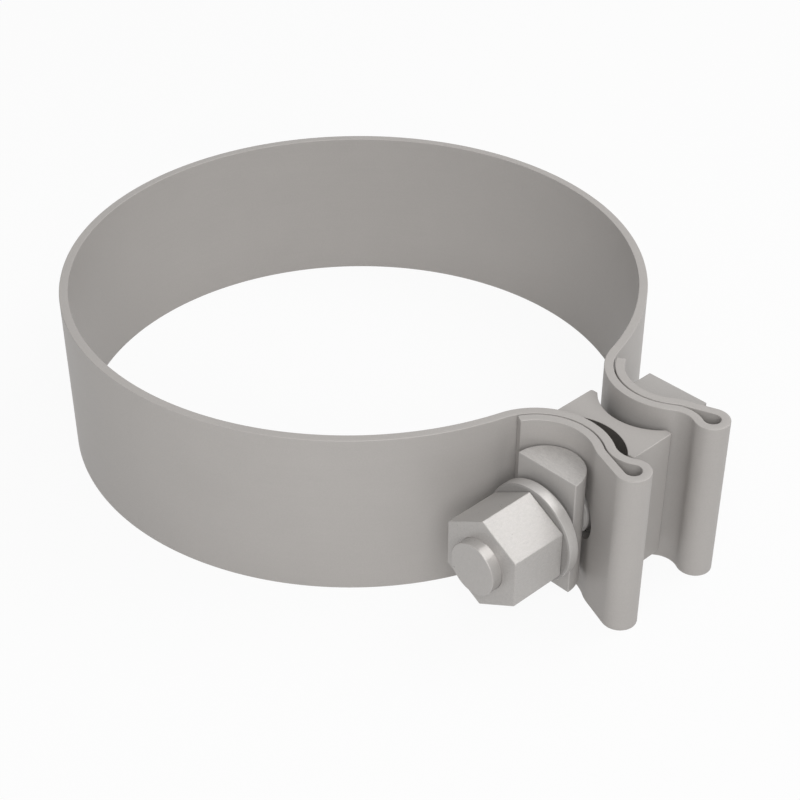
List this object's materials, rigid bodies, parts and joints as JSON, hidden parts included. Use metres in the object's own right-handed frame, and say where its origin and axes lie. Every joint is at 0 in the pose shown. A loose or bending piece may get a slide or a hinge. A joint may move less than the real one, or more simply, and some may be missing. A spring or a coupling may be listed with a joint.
{
  "type": "exhaust band clamp",
  "caption": "Wide folded-ear band clamp for a lapped exhaust pipe joint, drawn up by a D-head bolt through a floating spacer, half-round bar, washer and hexagon nut.",
  "frame": {"origin": "on the axis of the pipe bore, at the middle of the band's width", "axes": "+Z along the pipe, +X from the pipe's axis out through the gap between the ears, +Y along the bolt towards its D-shaped head"},
  "size_m": [0.1355, 0.1104, 0.0318],
  "materials": {
    "strap_steel": "satin",
    "fastener_steel": "satin"
  },
  "bodies": {
    "clamp_body": {"band": "strap_steel", "d_head_bolt": "fastener_steel", "half_round_bar": "fastener_steel"},
    "spacer_body": {"spacer": "strap_steel"},
    "washer_body": {"washer": "fastener_steel"},
    "nut_body": {"hex_nut": "fastener_steel"}
  },
  "joints": [
    {"name": "spacer_slide", "type": "slide", "parent": "clamp_body", "child": "spacer_body", "axis": [0, 1, 0], "range_m": [-0.0032, 0.0017]},
    {"name": "washer_travel", "type": "slide", "parent": "clamp_body", "child": "washer_body", "axis": [0, 1, 0], "range_m": [-0.01112, 0.00125]},
    {"name": "nut_turn", "type": "hinge", "parent": "washer_body", "child": "nut_body", "pos_m": [0.0637, -0.02488, 0], "axis": [0, 1, 0], "range_deg": [-2520, 280]}
  ],
  "couplings": [
    {"joint": "washer_travel", "follows": "nut_turn", "m_per_rad": 0.00025266}
  ]
}
